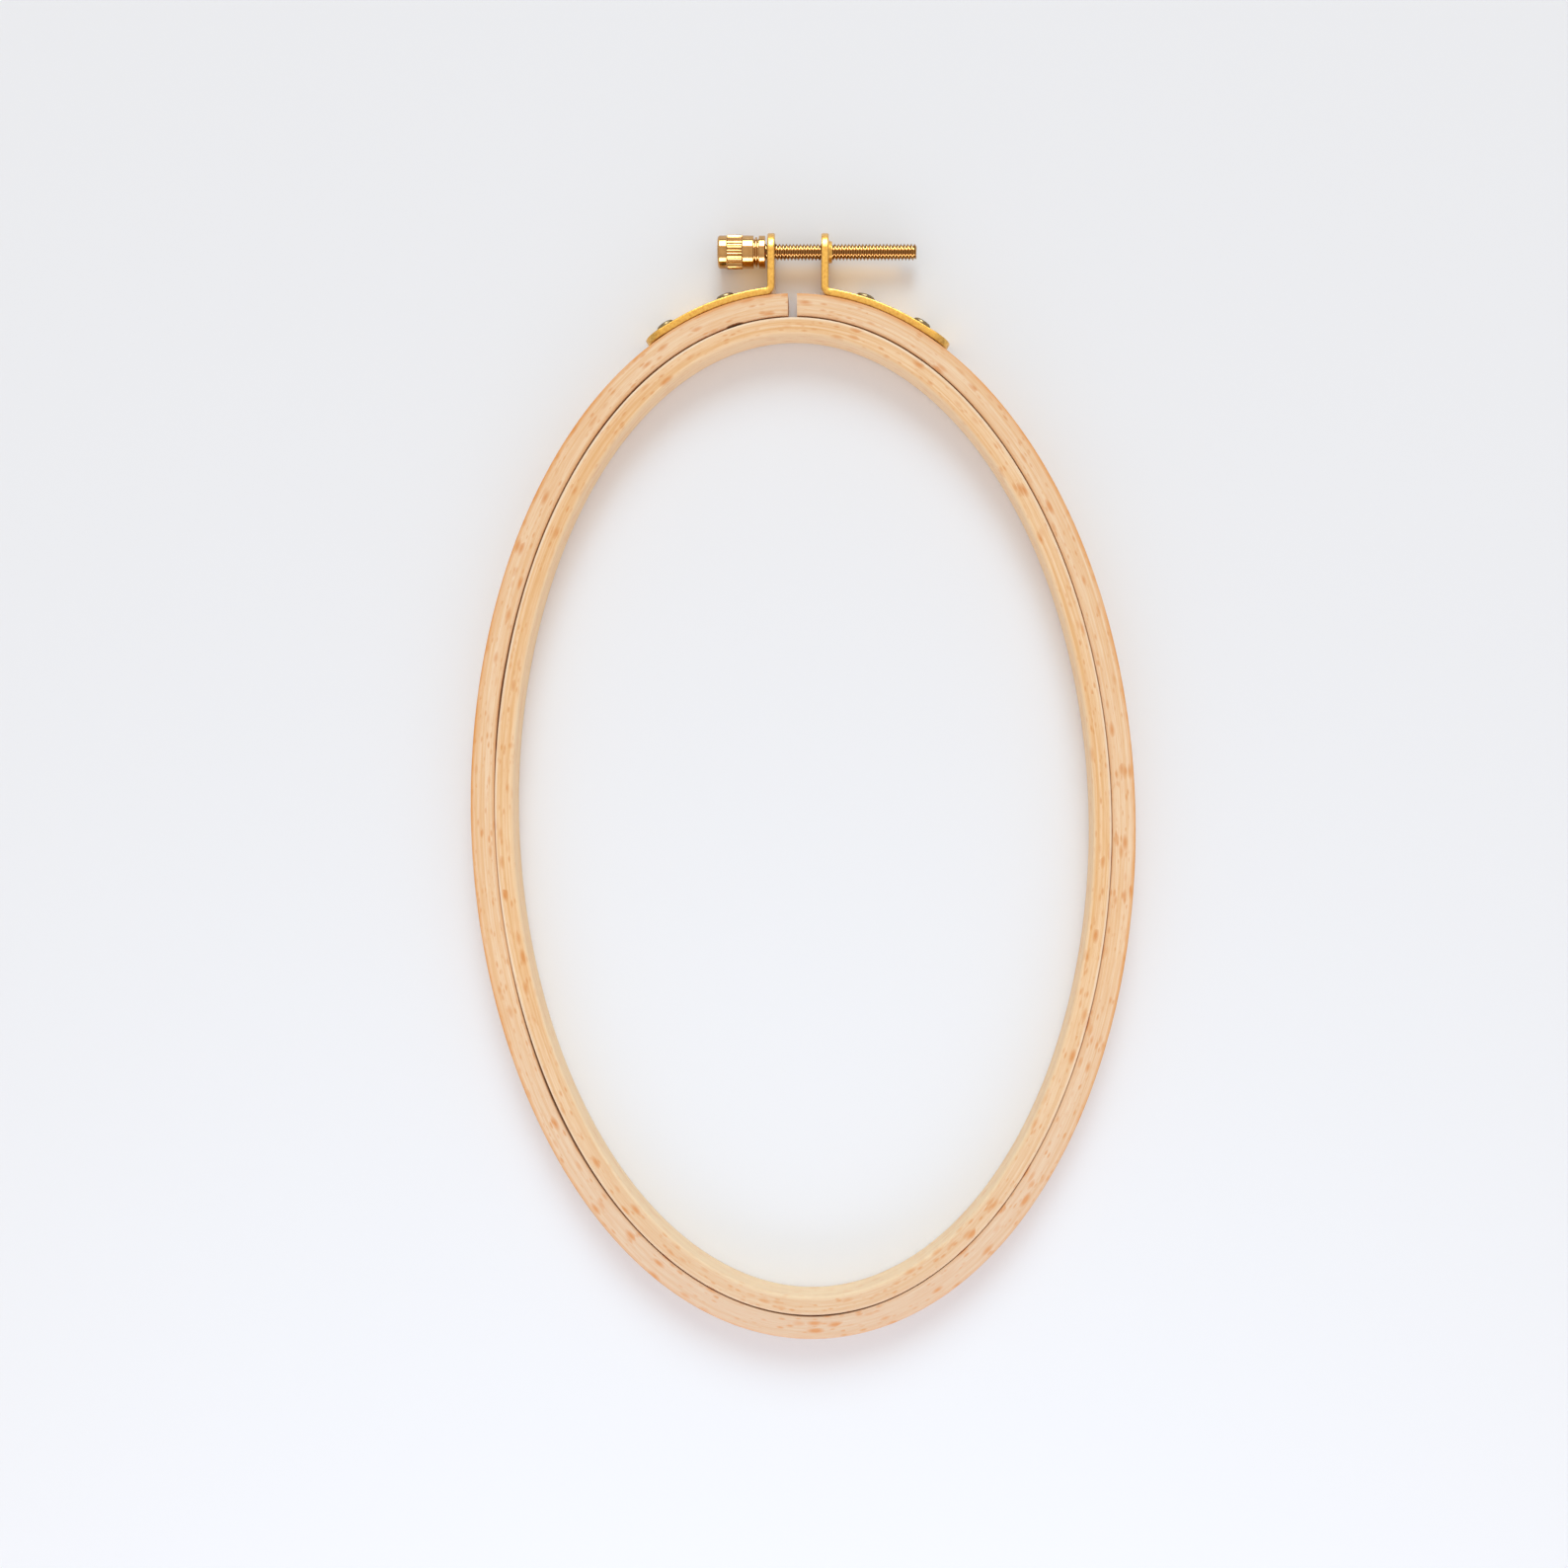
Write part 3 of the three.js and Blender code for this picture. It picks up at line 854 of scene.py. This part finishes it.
# %% Colours and nodes
def colour(code):
    """A hex colour as linear RGBA."""
    parts = [int(code[i : i + 2], 16) / 255 for i in (1, 3, 5)]
    linear = [p / 12.92 if p <= 0.04045 else ((p + 0.055) / 1.055) ** 2.4 for p in parts]
    return (*linear, 1)


def add(tree, kind, inputs, output=0, **settings):
    """One node with its settings, its inputs set or linked, and the output that is read next."""
    node = tree.nodes.new(kind)
    for name, value in settings.items():
        setattr(node, name, value)
    for name, value in inputs.items():
        if isinstance(value, bpy.types.NodeSocket):
            tree.links.new(value, node.inputs[name])
        else:
            node.inputs[name].default_value = value
    return node.outputs[output] if node.outputs else None


# %% [markdown]
# Both woods and all brasses are made of layers: a base colour, and over it other colours, each
# where its pattern lets it through.


# %% Layers of colour
def new_material(name):
    """An empty material and its node tree."""
    made = bpy.data.materials.new(name)
    made.use_nodes = True
    made.node_tree.nodes.clear()
    return made, made.node_tree


def layered(tree, base, layers):
    """A base colour under layers of (share, colour), each laid over what is beneath it."""
    tone = colour(base)
    for share, tint in layers:
        inputs = {0: share, 6: tone, 7: colour(tint)}
        tone = add(tree, "ShaderNodeMix", inputs, 2, data_type="RGBA")
    return tone


# %% [markdown]
# Beech is pale and even. Its face shows fine fibres along the strip, and short orange dashes, the
# flecks, where the rays of the trunk are cut. Both follow the bent strip, so each pattern is noise
# or a field of cells whose unit is stretched along the grain to its real length and width.

# %% Patterns along the grain
# Sizes along and across the strip in millimetres. Real fibres are thinner and real flecks about
# half as wide. They are drawn coarser here, so that they show.
streak_size = (45, 0.55)
patch_size = (9, 2.6)
fibre_size = (4, 0.13)
large_fleck = (4.0, 1.35)
small_fleck = (1.9, 0.6)
fleck_radius = 0.45  # of the largest fleck, as a share of its cell
fleck_edge = (-0.14, 0.2)  # distance from its outline over which a fleck comes in


def stretched(tree, grain, height, size):
    """A texture's inputs that make its unit this long and this wide along the strip."""
    along, across = (1 / (length * mm) for length in size)
    vector = {0: grain, 1: (along, along, across)}
    depth = {0: height, 1: across}
    return {
        "Vector": add(tree, "ShaderNodeVectorMath", vector, operation="MULTIPLY"),
        "W": add(tree, "ShaderNodeMath", depth, operation="MULTIPLY"),
        "Scale": 1.0,
    }


def streaks_in(tree, grain, height, size, detail, roughness):
    """Long soft streaks of this size."""
    inputs = stretched(tree, grain, height, size) | {"Detail": detail, "Roughness": roughness}
    return add(tree, "ShaderNodeTexNoise", inputs, "Fac", noise_dimensions="4D")


def flecks_in(tree, grain, height, size, strength):
    """Oval flecks of this size, one to a cell and each as large as its luck, up to a strength."""
    inputs = stretched(tree, grain, height, size)
    distance = add(tree, "ShaderNodeTexVoronoi", inputs, "Distance", voronoi_dimensions="4D")
    luck = add(tree, "ShaderNodeSeparateColor", {"Color": distance.node.outputs["Color"]})
    radius = add(tree, "ShaderNodeMapRange", {0: luck, 1: 0.15, 2: 0.95, 3: -0.1, 4: fleck_radius})
    room = add(tree, "ShaderNodeMath", {0: radius, 1: distance}, operation="SUBTRACT")
    edge = {0: room, 1: fleck_edge[0], 2: fleck_edge[1], 4: strength}
    return add(tree, "ShaderNodeMapRange", edge)


# %% [markdown]
# Hoops are sanded and left without a finish, so beech is dull, with the least sheen. Its edges are
# painted other colours: a deeper orange along the outer hoop's outer rim, painted shade on the
# outer hoop's rim beside the gap, a painted highlight along the inner hoop's rounded rim beside the
# gap, and a paler inside wall. The far end is painted a little greyer, a painted tint for the
# cooler light there. The strips share one wood and differ in their colours.

# %% Beech
fibre_relief = 0.05 * mm
rim_shade = (0.7 * mm, 0.2 * mm)  # below the rim, an edge's colour begins and is full
far_end_from, far_end_to = -0.35 * strip_circle, -strip_circle  # along the oval's long axis


def beech(name, pale, warm, fleck, far_end_light_tint, edges):
    """Bare sanded beech: soft to the eye, with fine fibres and orange flecks.

    Each edge is a colour, the offsets from the oval between which it comes in, its strength, and
    whether it keeps to the face, so that the walls stay plain, and fades towards the far end.
    """
    made, tree = new_material(name)
    grain = add(tree, "ShaderNodeAttribute", {}, "Vector", attribute_name="grain")
    place = add(tree, "ShaderNodeTexCoord", {}, "Object")
    height = add(tree, "ShaderNodeSeparateXYZ", {"Vector": place}, "Z")
    offset = add(tree, "ShaderNodeSeparateXYZ", {"Vector": grain}, "Z")
    along = offset.node.outputs["Y"]
    streaks = streaks_in(tree, grain, height, streak_size, 2.0, 0.55)
    patches = streaks_in(tree, grain, height, patch_size, 3.0, 0.6)
    fibres = streaks_in(tree, grain, height, fibre_size, 2.0, 0.6)
    large = flecks_in(tree, grain, height, large_fleck, 0.75)
    small = flecks_in(tree, grain, height, small_fleck, 0.6)
    layers = [
        (add(tree, "ShaderNodeMapRange", {0: streaks, 1: 0.36, 2: 0.64}), warm),
        (add(tree, "ShaderNodeMapRange", {0: patches, 1: 0.48, 2: 0.72, 4: 0.55}), warm),
        # Painted light: the far end is painted greyer, a painted tint for the cooler light that
        # falls there.
        (add(tree, "ShaderNodeMapRange", {0: along, 1: far_end_from, 2: far_end_to, 4: 0.5}), far_end_light_tint),
        (large, fleck),
        (small, fleck),
        (add(tree, "ShaderNodeMapRange", {0: fibres, 1: 0.4, 2: 0.62, 4: 0.2}), fleck),
    ]
    below = add(tree, "ShaderNodeMath", {0: height, 1: mid_height}, operation="SUBTRACT")
    below = add(tree, "ShaderNodeMath", {0: below}, operation="ABSOLUTE")
    rim = {0: below, 1: mid_height - rim_shade[0], 2: mid_height - rim_shade[1]}
    near_rim = add(tree, "ShaderNodeMapRange", rim)
    fade = {0: along, 1: far_end_from, 2: far_end_to, 3: 1.0, 4: 0.3}
    fading = add(tree, "ShaderNodeMapRange", fade)
    for tint, edge_from, edge_to, strength, keeps_to_face in edges:
        share = add(tree, "ShaderNodeMapRange", {0: offset, 1: edge_from * mm, 2: edge_to * mm})
        uneven = {0: patches, 1: 0.35, 2: 0.6, 3: strength * 0.55, 4: strength}
        limits = [add(tree, "ShaderNodeMapRange", uneven)]
        limits += [near_rim, fading] if keeps_to_face else []
        for limit in limits:
            share = add(tree, "ShaderNodeMath", {0: share, 1: limit}, operation="MULTIPLY")
        layers.append((share, tint))
    relief = {"Strength": 0.35, "Distance": fibre_relief, "Height": fibres}
    inputs = {
        "Base Color": layered(tree, pale, layers),
        "Roughness": add(tree, "ShaderNodeMapRange", {0: large, 1: 0.0, 2: 0.75, 3: 0.62, 4: 0.54}),
        "Normal": add(tree, "ShaderNodeBump", relief),
        "IOR": 1.5,
        "Specular IOR Level": 0.3,
    }
    shader = add(tree, "ShaderNodeBsdfPrincipled", inputs)
    add(tree, "ShaderNodeOutputMaterial", {"Surface": shader})
    return made


# Outer hoop: a deeper orange along the outer rim, and painted shade on the rim beside the gap.
deep_rim_and_gap_shade = [("#E09448", 4.35, 5.2, 0.85, True), ("#D9A06A", 0.9, 0.4, 0.5, True)]
# Inner hoop: a painted highlight along the rounded rim beside the gap, and a paler inside wall.
rim_highlight_and_pale_wall = [("#F8E6CC", -0.75, -0.25, 0.8, True), ("#F6DEB8", -3.3, -4.0, 0.6, False)]
outer_beech = beech("bare_beech_outer", "#F2D4B0", "#E9BC8B", "#D98A44", "#D2BCAA", deep_rim_and_gap_shade)
inner_beech = beech("bare_beech_inner", "#F4D2A8", "#E7B57C", "#D8883E", "#D6BFA6", rim_highlight_and_pale_wall)
print("woods:", outer_beech.name, inner_beech.name)

# %% [markdown]
# All the fittings are brass, each finished its own way, and two things tell them apart: how sharp
# the highlights are, and how deep the yellow is. So one function makes brass with two tones that
# mix in soft patches, and a fine relief.


# %% Brass
def brass(name, base, deep, roughness, patch, grit, relief, lacquer=0.0, thread_shade=None):
    """Brass with patches, grit and relief of these sizes in millimetres.

    Where a thread shade is given, the thread, beyond the collar, is painted that darker colour,
    a painted shade for its grooves.
    """
    made, tree = new_material(name)
    place = add(tree, "ShaderNodeTexCoord", {}, "Object")
    coarse = {"Vector": place, "Scale": 1 / (patch * mm), "Detail": 3.0}
    patches = add(tree, "ShaderNodeTexNoise", coarse, "Fac")
    fine = {"Vector": place, "Scale": 1 / (grit * mm), "Detail": 2.0}
    grains = add(tree, "ShaderNodeTexNoise", fine, "Fac")
    layers = [(add(tree, "ShaderNodeMapRange", {0: patches, 1: 0.35, 2: 0.7}), deep)]
    # Painted shade: the thread is painted darker than the knob, for the shadow in its grooves.
    if thread_shade:
        along = add(tree, "ShaderNodeSeparateXYZ", {"Vector": place}, "X")
        past_collar = {0: along, 1: collar_x, 2: collar_x + 0.2 * mm}
        layers.append((add(tree, "ShaderNodeMapRange", past_collar), thread_shade))
    worn = {0: patches, 1: 0.3, 2: 0.7, 3: roughness, 4: roughness * 1.4}
    bumps = {"Strength": 0.3, "Distance": relief * mm, "Height": grains}
    inputs = {
        "Base Color": layered(tree, base, layers),
        "Metallic": 1.0,
        "Roughness": add(tree, "ShaderNodeMapRange", worn),
        "Normal": add(tree, "ShaderNodeBump", bumps),
        "Coat Weight": lacquer,
        "Coat Roughness": 0.1,
    }
    shader = add(tree, "ShaderNodeBsdfPrincipled", inputs)
    add(tree, "ShaderNodeOutputMaterial", {"Surface": shader})
    return made


# Stamped strip, tumbled and lacquered: deep orange-yellow, with highlights that its fine dents blur
strip_brass = brass(
    "lacquered_stamped_brass", "#F0BE5C", "#CE9642", 0.27, 0.7, 0.3, 0.03, lacquer=0.6
)
# Turned bar: bright, with sharp highlights. The tool's marks, a few hundredths of a millimetre
# apart, are drawn as a faint grain of 0.2 mm. The thread is painted browner, a painted shade for
# the shadow in its grooves.
screw_brass = brass("turned_brass", "#D4A86C", "#C4945A", 0.07, 1.5, 0.2, 0.001, thread_shade="#B9925A")
# Drawn tube, left to darken before it is set: dull and brownish, with soft highlights
rivet_brass = brass("dull_rivet_brass", "#A08C66", "#786A4E", 0.3, 0.5, 0.3, 0.012)
print("brasses:", strip_brass.name, screw_brass.name, rivet_brass.name)

# %% [markdown]
# Each piece has one finish all over, so its material fills its only slot.

# %% Put the materials on
for piece, material in (
    (outer_hoop, outer_beech),
    (inner_hoop, inner_beech),
    (brackets["left"], strip_brass),
    (brackets["right"], strip_brass),
    (knob, screw_brass),
    (thread, screw_brass),
    *((made, rivet_brass) for made in rivets.values()),
):
    piece.data.materials.clear()
    piece.data.materials.append(material)
print("finished:", len(rivets) + 6, "pieces")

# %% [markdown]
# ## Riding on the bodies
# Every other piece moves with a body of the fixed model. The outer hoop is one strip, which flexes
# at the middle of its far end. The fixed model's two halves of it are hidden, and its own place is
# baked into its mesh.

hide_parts("outer_hoop_left", "outer_hoop_right")
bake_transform(outer_hoop)

# %% Bodies of the other pieces
for piece, node, slot_name, body in (
    (inner_hoop, "inner_hoop", "beech_inner", "inner"),
    (brackets["left"], "bracket_left", "brass_strip", "outer_left"),
    (brackets["right"], "bracket_right", "brass_strip", "outer_right"),
    (knob, "clamp_screw", "turned_brass", "screw"),
    (thread, "clamp_screw", "turned_brass", "screw"),
    *(
        (made, name, "rivet_brass", "outer_left" if "left" in name else "outer_right")
        for name, made in rivets.items()
    ),
):
    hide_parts(node)
    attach(piece, body)
    print(piece.name, "rides on", body)

# %% [markdown]
# ## Floor and light
# The hoop lies on a plain table. Its white paint is rolled on and matt, so it takes soft shadows
# and no shine.

# %% Floor
table_size = 6
under_hoop = 0.02 * mm
bpy.ops.object.select_all(action="DESELECT")
bpy.ops.mesh.primitive_plane_add(size=table_size, location=(0, 0, -under_hoop))
table = bpy.context.object
table.name = "table"
table_paint, tree = new_material("white_table")
paint = {"Base Color": colour("#ECECEE"), "Roughness": 0.75, "Specular IOR Level": 0.2}
shader = add(tree, "ShaderNodeBsdfPrincipled", paint)
add(tree, "ShaderNodeOutputMaterial", {"Surface": shader})
table.data.materials.append(table_paint)
print("table:", table_size, "m wide")

# %% [markdown]
# Lamps are the light of the room in a simple form. A function makes one, turns it to its target and
# hides it from the camera. Lamps that only lighten the floor are kept out of the brass, where they
# would show as spots, and lamps that only shine in the brass are kept off the floor.


# %% Lamps
def lamp(kind, name, place, target, glossy=True, diffuse=True, **settings):
    """A lamp of a kind at a place, facing a target, that the camera itself doesn't see."""
    data = bpy.data.lights.new(name, kind)
    for setting, value in settings.items():
        setattr(data, setting, value)
    made = bpy.data.objects.new(name, data)
    bpy.context.scene.collection.objects.link(made)
    made.location = place
    made.rotation_mode = "QUATERNION"
    made.rotation_quaternion = (Vector(place) - Vector(target)).to_track_quat("Z", "Y")
    made.visible_camera = False
    made.visible_glossy = glossy
    made.visible_diffuse = diffuse
    return made


def panel(name, place, target, size, radiance, tint=(1, 1, 1), **seen):
    """A rectangular lamp with this radiance."""
    width, length = size
    energy = radiance * math.pi * width * length
    shape = {"shape": "RECTANGLE", "size": width, "size_y": length}
    return lamp("AREA", name, place, target, energy=energy, color=tint, **shape, **seen)


# %% [markdown]
# Window light comes from behind the clamp and gives the short soft shadows, with a bluer part that
# falls on the clamp's end, and a weak light from the ceiling lifts the far end. A low window
# opposite fills the walls.

# %% Daylight
clamp_place = (0, 0.12, 0)
window_place = (0.03, 1.04, 0.77)
ceiling_place = (0.008, -0.05, 0.95)
far_end_place = (0, -0.19, 0)
window_width = math.radians(34)  # as seen from the hoop: the wider, the softer the shadows

lamp("SUN", "window_sky", window_place, clamp_place,
     energy=1.38, angle=window_width, color=(0.72, 0.88, 0.9))
lamp("SPOT", "window_blue", window_place, clamp_place, glossy=False,
     energy=14.6, color=(0.02, 0.39, 1),
     spot_size=math.radians(20), spot_blend=1, shadow_soft_size=0.34)
lamp("SPOT", "ceiling_glow", ceiling_place, far_end_place, glossy=False,
     energy=2.2, color=(0.5, 0.75, 1),
     spot_size=math.radians(32), spot_blend=1, shadow_soft_size=0.1)
panel("low_window", (0, -0.55, 0.22), (0, 0, 0), (1.0, 0.3), 1.35, (0.76, 0.8, 1))
print("daylight from", window_place)

# %% [markdown]
# Polished brass shows what it faces. Two bright panels, which only it mirrors, stand for the
# window and a pale wall and give its long highlights. The screw in turn throws a little golden
# light on the table beneath it, which a small warm lamp under the screw stands for.

# %% Shine and glow
panel("high_panel", (0, 1.026, 0.708), clamp_place, (0.6, 0.9), 6.0, diffuse=False)
panel("low_panel", (0, -0.967, 0.374), clamp_place, (0.6, 0.78), 5.0, diffuse=False)

glow_size = (38 * mm, 3 * mm)
glow_height = 2.4 * mm
glow_from, glow_to = 3.2 * mm, 4.4 * mm  # before the screw, the lamp and the spot it lights
screw_middle_x = (screw_low.x + screw_high.x) / 2
glow_place = (screw_middle_x, screw_y - glow_from, glow_height)
glow_target = (screw_middle_x, screw_y - glow_to, 0)
panel("brass_glow", glow_place, glow_target, glow_size, 0.42, (1, 0.5, 0), glossy=False)
print("glow under the screw at", [round(v / mm, 1) for v in glow_place])

# %% [markdown]
# The room itself is pale all round: cooler near the horizon, warmer overhead.

# %% Room
horizon = (0.57, 0.585, 0.665, 1)
overhead = (0.83, 0.745, 0.665, 1)
room = bpy.data.worlds.new("room")
room.use_nodes = True
tree = room.node_tree
direction = add(tree, "ShaderNodeTexCoord", {}, "Generated")
upwards = add(tree, "ShaderNodeSeparateXYZ", {"Vector": direction}, "Z")
sky = add(tree, "ShaderNodeMix", {0: upwards, 6: horizon, 7: overhead}, 2, data_type="RGBA")
tree.links.new(sky, tree.nodes["Background"].inputs["Color"])
bpy.context.scene.world = room
print("room:", horizon, "to", overhead)
